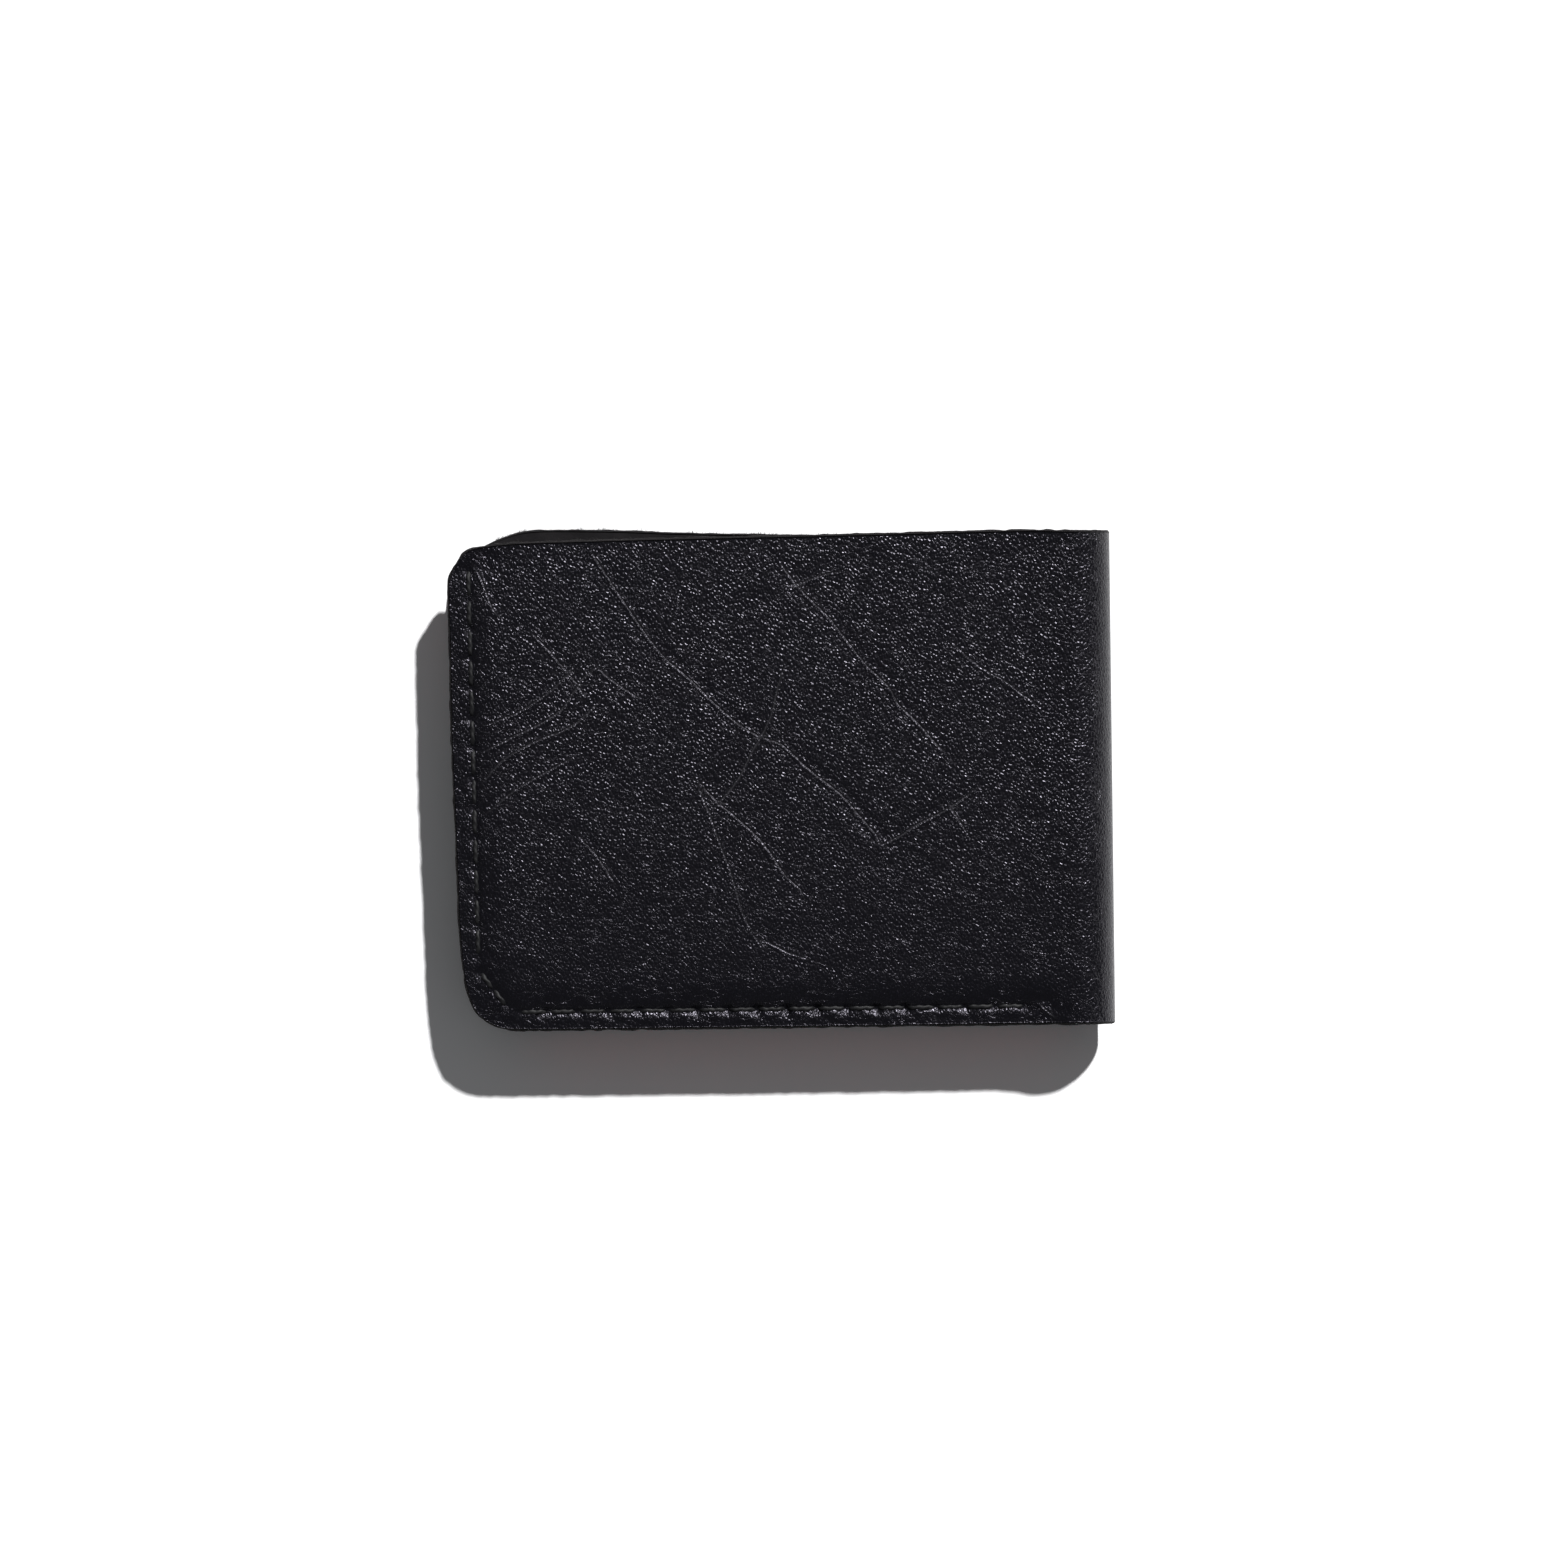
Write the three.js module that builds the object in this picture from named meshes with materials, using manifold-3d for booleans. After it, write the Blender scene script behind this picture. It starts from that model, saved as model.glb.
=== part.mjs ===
// Bifold wallet, closed. Millimetres, +Z up.
// The wallet lies on its back cover at z = 0, with the fold (spine) along +X and the open mouth of the banknote compartment along +Y.
// Origin: middle of the footprint, on the resting plane.
//
// Each half is a stack: cover leather, banknote gap, liner, card gap, T-shaped slot piece, card gap, lower pocket.
// The front half mirrors the back half about z = T / 2. The cover leather is one hide that bends round the spine;
// here the hide is cut at two living-hinge lines, so that each of its three pieces stays rigid.
import * as THREE from "three";
import { mergeVertices } from "three/addons/utils/BufferGeometryUtils.js";
import Module from "manifold-3d";

const wasm = await Module();
wasm.setup();

// ---- driving dimensions ----
const T = 13.5; // closed thickness over both covers
const COVER = 1.5; // cover leather
const BILL_GAP = 0.9; // banknote compartment, cover to liner
const LINER = 0.8; // liner leather
const CARD_GAP = 0.95; // room for a 0.76 mm card
const SLOT = 0.7; // skived leather of the T-shaped slot piece
const POCKET = 0.8; // lower pocket leather

const SPINE_X = 55; // outermost line of the fold
const R_OUT = T / 2; // outer radius of the fold
const R_IN = R_OUT - COVER;
const HINGE_DEG = 45; // the two living-hinge lines, below and above the fold's middle; they lie at radius 6.66
const HALF_GAP_DEG = 2.5; // half of the slit at a living-hinge line
const FLAT_END_X = SPINE_X - R_OUT; // where the flat part of a cover ends and its bend begins

const PANEL_END_X = 46.3; // liners and pockets stop short of the fold
const LINER_TOP_Y = 38.0;
const SLOT_TOP_Y = 22.0; // mouth of the upper card slot
const SLOT_ARM_Y = 5.0; // underside of the T's arms
const SLOT_STEM_X = [-44.5, 38.5]; // sides of the T's stem
const SLOT_FOOT_Y = -28.2; // foot of the T's stem
const POCKET_TOP_Y = 8.0; // mouth of the lower card slot

const RIM_X = [-48.0, 41.4]; // sewn rims, pressed down on the layer below, lie outside these
const RIM_Y = -35.3;
const RIM_CORNER = 4.2; // where the rim cuts across the free corner
const SEAT = 0.03; // air between two layers that lie on each other

const THREAD = 0.7; // thread width
const HOLE = 0.9; // awl hole and groove width
const BAR = 0.4; // height of a stitch lying on the leather
const GROOVE = 0.5; // depth of the stitching groove
const FINE_BAR = 0.3; // the same for the thin inner seams
const FINE_GROOVE = 0.35;

// z levels of the back half, measured from its own outer face
const Z = {};
Z.cover = [0, COVER];
Z.liner = [COVER + BILL_GAP, COVER + BILL_GAP + LINER];
Z.slot = [Z.liner[1] + CARD_GAP, Z.liner[1] + CARD_GAP + SLOT];
Z.pocket = [Z.slot[1] + CARD_GAP, Z.slot[1] + CARD_GAP + POCKET];

// ---- outlines, counter-clockwise in plan ----
// Free edge and corners of each half, from the foot of the free edge up to the mouth.
const FRONT_EDGE = [
  [-40.0, -41.5], [-45.4, -41.35], [-47.6, -40.95], [-50.0, -39.6], [-51.4, -38.2],
  [-52.3, -36.2], [-53.1, -32.9], [-53.8, -26.0], [-54.1, -16.0], [-54.4, -6.0],
  [-54.8, 7.0], [-54.9, 20.0], [-55.0, 32.0], [-54.85, 33.9], [-53.2, 37.05], [-51.9, 38.35], [-50.9, 38.75],
];
const FRONT_MOUTH = [
  [-46.0, 39.4], [-33.0, 39.75], [-11.0, 40.05], [13.0, 40.3], [38.0, 40.65], [43.0, 40.65], [47.0, 40.45], [FLAT_END_X, 40.45],
];
const BACK_EDGE = [
  [-40.0, -41.5], [-45.4, -41.35], [-47.6, -40.95], [-50.0, -39.6], [-51.4, -38.2],
  [-52.3, -36.2], [-53.0, -32.9], [-53.6, -26.0], [-53.9, -16.0], [-54.1, -6.0],
  [-54.3, 7.0], [-54.4, 20.0], [-54.4, 31.0], [-54.0, 34.0], [-52.2, 37.4], [-49.5, 39.2],
];
const BACK_MOUTH = [
  [-46.9, 40.15], [-43.7, 41.15], [-41.0, 41.45], [-36.6, 41.5], [-26.5, 41.2], [-16.5, 40.8], [0, 40.4], [25, 40.2], [42.0, 40.3], [47.0, 40.45], [FLAT_END_X, 40.45],
];
const FOOT_Y = -41.5;
const MOUTH_Y = 40.45; // mouth edge of the hide where it goes round the fold

// The free edge up to y = top, then straight across to x = end.
function panelOutline(edge, top, end) {
  const kept = [];
  for (let i = 0; i < edge.length; i++) {
    if (edge[i][1] <= top) kept.push(edge[i]);
    else {
      const [xa, ya] = edge[i - 1], [xb, yb] = edge[i];
      const k = (top - ya) / (yb - ya);
      kept.push([xa + k * (xb - xa), top]);
      break;
    }
  }
  // counter-clockwise: foot from the free corner to the fold, up, back along the mouth, down the free edge
  const r = 1.2;
  return [
    [end - r, FOOT_Y], [end - 0.35, FOOT_Y + 0.35], [end, FOOT_Y + r],
    [end, top - r], [end - 0.35, top - 0.35], [end - r, top],
    ...kept.reverse(),
  ];
}
function coverOutline(edge, mouth) {
  return [[FLAT_END_X, FOOT_Y], ...[...mouth].reverse(), ...[...edge].reverse()];
}
function slotOutline(edge) {
  const top = panelOutline(edge, SLOT_TOP_Y, PANEL_END_X);
  const above = top.filter((p) => p[1] > SLOT_ARM_Y);
  // above: end side going up, mouth, free edge going down
  const free = above[above.length - 1];
  return [
    [SLOT_STEM_X[1], SLOT_ARM_Y], [PANEL_END_X, SLOT_ARM_Y], ...above, [free[0] + 0.03, SLOT_ARM_Y],
    [SLOT_STEM_X[0], SLOT_ARM_Y], [SLOT_STEM_X[0], SLOT_FOOT_Y], [SLOT_STEM_X[1], SLOT_FOOT_Y],
  ];
}

// ---- solids ----
function solidOf(geometry) {
  const g = geometry.index ? geometry.toNonIndexed() : geometry.clone();
  g.deleteAttribute("normal");
  g.deleteAttribute("uv");
  const m = mergeVertices(g, 1e-4);
  return new wasm.Manifold(new wasm.Mesh({
    numProp: 3, vertProperties: new Float32Array(m.attributes.position.array), triVerts: new Uint32Array(m.index.array),
  }));
}
function geometryOf(solid) {
  const m = solid.getMesh();
  const g = new THREE.BufferGeometry();
  g.setAttribute("position", new THREE.BufferAttribute(new Float32Array(m.vertProperties), 3));
  g.setIndex(new THREE.BufferAttribute(new Uint32Array(m.triVerts), 1));
  const flat = g.toNonIndexed();
  flat.computeVertexNormals();
  return flat;
}
const shapeOf = (points) => new THREE.Shape(points.map(([x, y]) => new THREE.Vector2(x, y)));

function plate(outline, z0, z1) {
  const g = new THREE.ExtrudeGeometry(shapeOf(outline), { depth: z1 - z0, bevelEnabled: false });
  g.translate(0, 0, z0);
  return g;
}

const block = (x0, x1, y0, y1, z0, z1) => {
  const g = new THREE.BoxGeometry(x1 - x0, y1 - y0, z1 - z0);
  g.translate((x0 + x1) / 2, (y0 + y1) / 2, (z0 + z1) / 2);
  return solidOf(g);
};
// The open room inside the rims: bounded by the free-edge rim and the foot rim, and by the spine-side rim when there is one.
function room(x1, y1, z0, z1) {
  return solidOf(plate([
    [RIM_X[0] + RIM_CORNER, RIM_Y], [x1, RIM_Y], [x1, y1], [RIM_X[0], y1], [RIM_X[0], RIM_Y + RIM_CORNER],
  ], z0, z1));
}

// A half's levels: the back half as written, the front half mirrored about the middle of the thickness.
const halves = {
  back: { edge: BACK_EDGE, mouth: BACK_MOUTH, z: ([a, b]) => [a, b], at: (z) => z },
  front: { edge: FRONT_EDGE, mouth: FRONT_MOUTH, z: ([a, b]) => [T - b, T - a], at: (z) => T - z },
};

// A row of stitches from one awl hole to another: legs through the layers, joined on both faces by short bars.
// low is the outer face of the lower bar; tops gives the upper bar's outer face for each stitch.
function rowOf(from, to, count) {
  const [dx, dy] = [to[0] - from[0], to[1] - from[1]];
  const length = Math.hypot(dx, dy);
  return { from, to, count, length, pitch: length / count, angle: Math.atan2(dy, dx) };
}
function stitches(row, low, tops, bar, at) {
  const leg = THREAD, s = (i) => i * row.pitch, n = row.count;
  const outer = [[-leg / 2, low], [row.length + leg / 2, low], [row.length + leg / 2, tops[n - 1]]];
  for (let j = n - 1; j >= 1; j--) {
    if (tops[j - 1] < tops[j] - 1e-9) outer.push([s(j) - leg / 2, tops[j]], [s(j) - leg / 2, tops[j - 1]]);
    else if (tops[j - 1] > tops[j] + 1e-9) outer.push([s(j) + leg / 2, tops[j]], [s(j) + leg / 2, tops[j - 1]]);
  }
  outer.push([-leg / 2, tops[0]]);
  // drawn in (distance along the row, height), then stood up and turned into place
  const place = (points, depth) => {
    const g = new THREE.ExtrudeGeometry(shapeOf(points.map(([x, z]) => [x, at(z)])), { depth, bevelEnabled: false });
    g.translate(0, 0, -depth / 2);
    g.rotateX(Math.PI / 2);
    g.rotateZ(row.angle);
    g.translate(row.from[0], row.from[1], 0);
    return solidOf(g);
  };
  let solid = place(outer, THREAD);
  for (let i = 0; i < n; i++) {
    const [a, b] = [s(i) + leg / 2, s(i + 1) - leg / 2];
    solid = solid.subtract(place([[a, low + bar], [b, low + bar], [b, tops[i] - bar], [a, tops[i] - bar]], 2 * THREAD));
  }
  return geometryOf(solid);
}
// Awl holes of a row through everything between two levels, for the legs chosen by keep.
function holes(row, z0, z1, keep = () => true) {
  const made = [];
  for (let i = 0; i <= row.count; i++) {
    const k = i / row.count;
    const x = row.from[0] + k * (row.to[0] - row.from[0]), y = row.from[1] + k * (row.to[1] - row.from[1]);
    if (!keep(x, y)) continue;
    const g = new THREE.BoxGeometry(HOLE, HOLE, z1 - z0);
    g.rotateZ(row.angle);
    g.translate(x, y, (z0 + z1) / 2);
    made.push(solidOf(g));
  }
  return made;
}
// A stitching groove along a row, or along its first stitches only.
function groove(row, z0, z1, first = 0, last = row.count) {
  const length = (last - first) * row.pitch + HOLE;
  const g = new THREE.BoxGeometry(length, HOLE, z1 - z0);
  g.translate(first * row.pitch + length / 2 - HOLE / 2, 0, (z0 + z1) / 2);
  g.rotateZ(row.angle);
  g.translate(row.from[0], row.from[1], 0);
  return solidOf(g);
}
const cut = (solid, tools) => tools.reduce((s, t) => s.subtract(t), solid);

// Part of the bend between two angles, measured up from +X about the middle of the fold.
const CENTRE = [FLAT_END_X, R_OUT];
const at = (r, deg) => [CENTRE[0] + r * Math.cos((deg * Math.PI) / 180), CENTRE[1] + r * Math.sin((deg * Math.PI) / 180)];
function bend(from, to, steps) {
  const ring = [];
  for (let k = 0; k <= steps; k++) ring.push(at(R_OUT, from + ((to - from) * k) / steps));
  for (let k = steps; k >= 0; k--) ring.push(at(R_IN, from + ((to - from) * k) / steps));
  // a short flat run past a quarter turn, which laps the flat panel
  const lap = 0.8, x = CENTRE[0];
  if (from === -90) ring.push([x - lap, COVER], [x - lap, 0]);
  if (to === 90) ring.splice(steps + 1, 0, [x - lap, T], [x - lap, T - COVER]);
  const g = new THREE.ExtrudeGeometry(shapeOf(ring), { depth: MOUTH_Y - FOOT_Y, bevelEnabled: false });
  g.rotateX(Math.PI / 2);
  g.translate(0, MOUTH_Y, 0);
  return g;
}

// ---- seams ----
const SIDE = rowOf([-50.6, -29.0], [-51.5, 35.2], 13);
const CORNER = rowOf([-50.3, -31.7], [-46.1, -37.2], 2);
const FOOT = rowOf([-44.1, -38.3], [39.9, -38.3], 17);
const INNER = rowOf([43.5, -36.6], [43.5, 20.4], 12); // spine-side seam of liner, slot piece and pocket
const HEM = rowOf([-42.5, -26.6], [36.5, -26.6], 16); // foot of the T's stem on the liner

const leather = new THREE.MeshStandardMaterial({ color: 0x17161a, roughness: 0.55, metalness: 0 });
const lining = new THREE.MeshStandardMaterial({ color: 0x1b191b, roughness: 0.65, metalness: 0 });
const thread = new THREE.MeshStandardMaterial({ color: 0x101012, roughness: 0.7, metalness: 0 });

const wallet = new THREE.Group();
function add(name, geometry, material) {
  const mesh = new THREE.Mesh(geometry, material);
  mesh.name = name;
  wallet.add(mesh);
}

for (const [half, h] of Object.entries(halves)) {
  const span = (a, b) => h.z([a, b]);
  const low = 0.05; // the outer stitches lie just under the cover's face
  const top = { pocket: Z.pocket[1] - 0.05, slot: Z.slot[1] + 0.05 + BAR, liner: Z.liner[1] + 0.05 + BAR };

  // the layer that the inner side of each stitch lies on: at a mouth it steps over the lip
  const lieOn = (row) => Array.from({ length: row.count }, (_, i) => {
    const y = row.from[1] + (i / row.count) * (row.to[1] - row.from[1]);
    return y < POCKET_TOP_Y ? "pocket" : y < SLOT_TOP_Y ? "slot" : "liner";
  });
  const sideLie = lieOn(SIDE), innerLie = lieOn(INNER);
  const inPocket = (lie) => lie.filter((l) => l === "pocket").length;

  // cover leather of this half
  const perimeter = [SIDE, CORNER, FOOT];
  const quarter = half === "back" ? bend(-90, -HINGE_DEG - HALF_GAP_DEG, 6) : bend(HINGE_DEG + HALF_GAP_DEG, 90, 6);
  add("cover_" + half, geometryOf(cut(solidOf(plate(coverOutline(h.edge, h.mouth), ...span(...Z.cover))).add(solidOf(quarter)), [
    ...perimeter.map((r) => groove(r, ...span(-1, GROOVE))),
    ...perimeter.flatMap((r) => holes(r, ...span(-1, COVER + 1))),
  ])), leather);

  // liner: the inner wall of the banknote compartment, pressed down to the cover along the free edge and the foot
  const linerLow = COVER + SEAT;
  add("liner_" + half, geometryOf(cut(solidOf(plate(panelOutline(h.edge, LINER_TOP_Y, PANEL_END_X), ...span(linerLow, Z.liner[1]))), [
    room(200, 200, ...span(-1, Z.liner[0])),
    ...perimeter.flatMap((r) => holes(r, ...span(-1, Z.liner[1] + 0.5))),
    ...[INNER, HEM].flatMap((r) => holes(r, ...span(-1, Z.liner[1] + 0.5))),
    ...[INNER, HEM].map((r) => groove(r, ...span(-1, Z.liner[0] + FINE_GROOVE))),
  ])), lining);

  // T-shaped slot piece: arms in both side seams, stem hemmed to the liner
  const onSlot = (x, y) => y > SLOT_ARM_Y - 1 && y < SLOT_TOP_Y + 1;
  const slotLow = Z.liner[1] + SEAT;
  add("card_slot_" + half, geometryOf(cut(solidOf(plate(slotOutline(h.edge), ...span(slotLow, Z.slot[1]))), [
    block(RIM_X[0], RIM_X[1], SLOT_FOOT_Y + 3.2, 200, ...span(-1, Z.slot[0])),
    ...holes(SIDE, ...span(-1, Z.slot[1] + 0.3), onSlot),
    ...holes(INNER, ...span(-1, Z.slot[1] + 0.3), onSlot),
    ...holes(HEM, ...span(-1, Z.slot[1] + 0.3)),
    groove(HEM, ...span(Z.slot[1] - FINE_GROOVE, Z.slot[1] + 0.3)),
  ])), lining);

  // lower pocket: the innermost panel, pressed down on three sides
  const onPocket = (x, y) => y < POCKET_TOP_Y + 1;
  add("lower_pocket_" + half, geometryOf(cut(solidOf(plate(panelOutline(h.edge, POCKET_TOP_Y, PANEL_END_X), ...span(slotLow, Z.pocket[1]))), [
    room(RIM_X[1], 200, ...span(-1, Z.pocket[0])),
    block(-200, 200, SLOT_ARM_Y - 0.3, 200, ...span(-1, Z.slot[1] + SEAT)), // seated on the arms of the slot piece
    ...[CORNER, FOOT].flatMap((r) => holes(r, ...span(-1, Z.pocket[1] + 0.2))),
    ...[SIDE, INNER].flatMap((r) => holes(r, ...span(-1, Z.pocket[1] + 0.2), onPocket)),
    ...[CORNER, FOOT].map((r) => groove(r, ...span(Z.pocket[1] - GROOVE, Z.pocket[1] + 0.2))),
    groove(SIDE, ...span(Z.pocket[1] - GROOVE, Z.pocket[1] + 0.2), 0, inPocket(sideLie)),
    groove(INNER, ...span(Z.pocket[1] - GROOVE, Z.pocket[1] + 0.2), 0, inPocket(innerLie)),
  ])), lining);

  // thread of each seam
  const innerLow = Z.liner[0] + 0.03;
  add("side_stitching_" + half, stitches(SIDE, low, sideLie.map((l) => top[l]), BAR, h.at), thread);
  add("corner_stitching_" + half, stitches(CORNER, low, [top.pocket, top.pocket], BAR, h.at), thread);
  add("foot_stitching_" + half, stitches(FOOT, low, Array(FOOT.count).fill(top.pocket), BAR, h.at), thread);
  add("spine_side_stitching_" + half, stitches(INNER, innerLow, innerLie.map((l) => top[l]), FINE_BAR, h.at), thread);
  add("slot_hem_stitching_" + half, stitches(HEM, innerLow, Array(HEM.count).fill(Z.slot[1] - 0.03), FINE_BAR, h.at), thread);
}

// the middle of the bend, between the two living-hinge lines
add("spine", bend(-HINGE_DEG + HALF_GAP_DEG, HINGE_DEG - HALF_GAP_DEG, 10), leather);

export default wallet;
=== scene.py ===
import math
import bpy
import numpy as np
from mathutils import Euler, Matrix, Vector


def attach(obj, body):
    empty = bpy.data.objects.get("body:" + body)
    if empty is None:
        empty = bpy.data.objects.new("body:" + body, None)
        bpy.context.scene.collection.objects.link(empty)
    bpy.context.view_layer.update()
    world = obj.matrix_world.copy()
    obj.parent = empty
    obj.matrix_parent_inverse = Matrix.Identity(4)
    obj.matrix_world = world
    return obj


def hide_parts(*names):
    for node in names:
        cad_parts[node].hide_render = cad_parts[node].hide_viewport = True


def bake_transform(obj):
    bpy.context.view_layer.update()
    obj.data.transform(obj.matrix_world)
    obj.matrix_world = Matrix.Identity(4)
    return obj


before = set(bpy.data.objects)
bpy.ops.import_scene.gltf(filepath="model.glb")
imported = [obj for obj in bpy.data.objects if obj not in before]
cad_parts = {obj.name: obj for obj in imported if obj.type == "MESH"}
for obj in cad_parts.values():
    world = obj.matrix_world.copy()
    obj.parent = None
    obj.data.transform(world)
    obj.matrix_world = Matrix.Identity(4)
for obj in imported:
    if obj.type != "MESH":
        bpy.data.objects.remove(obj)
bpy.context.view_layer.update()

scene = bpy.context.scene

# ---------------------------------------------------------------- dimensions (mm, in the CAD frame)
T = 13.5                      # closed thickness
COVER = 1.5
R_OUT = T / 2
R_MID = R_OUT - COVER / 2
FOLD_X = 55.0 - R_OUT         # the flat part of each cover ends here and the bend begins
QUARTER = R_MID * math.pi / 2
W_LINER = (2.4, 3.2)
W_SLOT = (4.15, 4.85)
W_POCKET = (5.8, 6.6)
W_TOP = 6.6
PANEL_END = 46.3
LINER_TOP, SLOT_TOP, SLOT_ARM, POCKET_TOP, SLOT_FOOT = 38.0, 22.0, 5.0, 8.0, -28.2
STEM = (-44.5, 38.5)
FOOT_Y = -41.5

EDGE = {
    "front": [(-40.0, -41.5), (-45.4, -41.35), (-47.6, -40.95), (-50.0, -39.6), (-51.4, -38.2), (-52.3, -36.2), (-53.1, -32.9),
              (-53.8, -26.0), (-54.1, -16.0), (-54.4, -6.0), (-54.8, 7.0), (-54.9, 20.0), (-55.0, 32.0), (-54.85, 33.9),
              (-53.2, 37.05), (-51.9, 38.35), (-50.9, 38.75)],
    "back": [(-40.0, -41.5), (-45.4, -41.35), (-47.6, -40.95), (-50.0, -39.6), (-51.4, -38.2), (-52.3, -36.2), (-53.0, -32.9),
             (-53.6, -26.0), (-53.9, -16.0), (-54.1, -6.0), (-54.3, 7.0), (-54.4, 20.0), (-54.4, 31.0), (-54.0, 34.0),
             (-52.2, 37.4), (-49.5, 39.2)],
}
MOUTH = {
    "front": [(-46.0, 39.4), (-33.0, 39.75), (-11.0, 40.05), (13.0, 40.3), (38.0, 40.65), (43.0, 40.65), (47.0, 40.5), (52.0, 40.45), (FOLD_X + QUARTER, 40.45)],
    "back": [(-46.9, 40.4), (-43.7, 41.5), (-41.0, 41.85), (-36.6, 41.9), (-26.5, 41.65), (-16.5, 41.2), (0, 40.7), (25, 40.2), (42.0, 40.3), (47.0, 40.45), (52.0, 40.45), (FOLD_X + QUARTER, 40.45)],
}
ROWS = {  # seam rows: first awl hole, last awl hole, stitches
    "side": ((-50.6, -29.0), (-51.5, 35.2), 13),
    "corner": ((-50.3, -31.7), (-46.1, -37.2), 2),
    "foot": ((-44.1, -38.3), (39.9, -38.3), 17),
    "inner": ((43.5, -36.6), (43.5, 20.4), 12),
    "hem": ((-42.5, -26.6), (36.5, -26.6), 16),
}


def sstep(a, b, t):
    k = np.clip((t - a) / (b - a), 0, 1)
    return k * k * (3 - 2 * k)


def dense(points, step=0.15):
    """A smooth curve through the points (centripetal Catmull-Rom), sampled about every step."""
    p = np.array(points, float)
    p = np.vstack([2 * p[0] - p[1], p, 2 * p[-1] - p[-2]])
    out = []
    for i in range(1, len(p) - 2):
        p0, p1, p2, p3 = p[i - 1:i + 3]
        t1 = np.linalg.norm(p1 - p0) ** 0.5
        t2 = t1 + np.linalg.norm(p2 - p1) ** 0.5
        t3 = t2 + np.linalg.norm(p3 - p2) ** 0.5
        n = max(2, int(np.linalg.norm(p2 - p1) / step))
        t = np.linspace(t1, t2, n, endpoint=False)[:, None]
        a1 = (t1 - t) / t1 * p0 + t / t1 * p1
        a2 = (t2 - t) / (t2 - t1) * p1 + (t - t1) / (t2 - t1) * p2
        a3 = (t3 - t) / (t3 - t2) * p2 + (t - t2) / (t3 - t2) * p3
        b1 = (t2 - t) / t2 * a1 + t / t2 * a2
        b2 = (t3 - t) / (t3 - t1) * a2 + (t - t1) / (t3 - t1) * a3
        out.append((t2 - t) / (t2 - t1) * b1 + (t - t1) / (t2 - t1) * b2)
    out.append(p[-2][None])
    return np.vstack(out)


def lengths(c):
    return np.concatenate([[0], np.cumsum(np.linalg.norm(np.diff(c, axis=0), axis=1))])


def along(c, f):
    """Points of the polyline c at the fractions f of its length."""
    s = lengths(c)
    q = np.asarray(f) * s[-1]
    return np.stack([np.interp(q, s, c[:, k]) for k in range(c.shape[1])], 1)


def spaced(total, bands):
    """Fractions 0..1 of a length, with the step of the band that each place is in: bands = [(end, step), ...]."""
    out, at = [0.0], 0.0
    for end, step in bands:
        n = max(1, round((end - at) / step))
        out += list(np.linspace(at, end, n + 1)[1:])
        at = end
    return np.array(out) / total


def near(points, curve, chunk=6000):
    """Distance from each point to the polyline's samples, and the place along it."""
    d = np.empty(len(points)); k = np.empty(len(points), int)
    for i in range(0, len(points), chunk):
        q = points[i:i + chunk]
        m = ((q[:, None, :] - curve[None]) ** 2).sum(2)
        k[i:i + chunk] = m.argmin(1)
        d[i:i + chunk] = np.sqrt(m.min(1))
    return d, lengths(curve)[k]


# smooth value noise, the same on every run
def lattice(seed, n=64):
    return np.random.RandomState(seed).rand(n, n) * 2 - 1


def vnoise(x, y, scale, seed):
    g = lattice(seed)
    n = len(g)
    u, v = np.asarray(x) * scale + 17.3 * seed, np.asarray(y) * scale + 5.1 * seed
    i, j = np.floor(u).astype(int), np.floor(v).astype(int)
    fu, fv = u - i, v - j
    fu, fv = fu ** 3 * (fu * (fu * 6 - 15) + 10), fv ** 3 * (fv * (fv * 6 - 15) + 10)
    a, b = g[i % n, j % n], g[(i + 1) % n, j % n]
    c, d = g[i % n, (j + 1) % n], g[(i + 1) % n, (j + 1) % n]
    return (a * (1 - fu) + b * fu) * (1 - fv) + (c * (1 - fu) + d * fu) * fv


# ---------------------------------------------------------------- where things are
def place(half, x, y, w):
    """From a half's own coordinates (x may run on round the bend, w is the depth below the outer face) to the row frame, in metres."""
    x, y, w = np.broadcast_arrays(np.asarray(x, float), y, w)
    phi = np.clip((x - FOLD_X) / R_MID, 0, None)
    px = np.where(x <= FOLD_X, x, FOLD_X + (R_OUT - w) * np.sin(phi))
    pz = np.where(x <= FOLD_X, w, R_OUT - (R_OUT - w) * np.cos(phi))
    if half == "front":
        pz = T - pz
    return np.stack([px, y, pz], -1) * 0.001


def pattern(half, x, y, w):
    """The same point in the flat hide, in millimetres, for the grain."""
    s = x - FOLD_X - QUARTER
    if half == "front":
        s = -s
    return np.stack([s, y, w + 0 * x], -1)


def row_points(row):
    a, b, n = ROWS[row]
    k = np.linspace(0, 1, n + 1)[:, None]
    return np.array(a) * (1 - k) + np.array(b) * k


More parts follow.
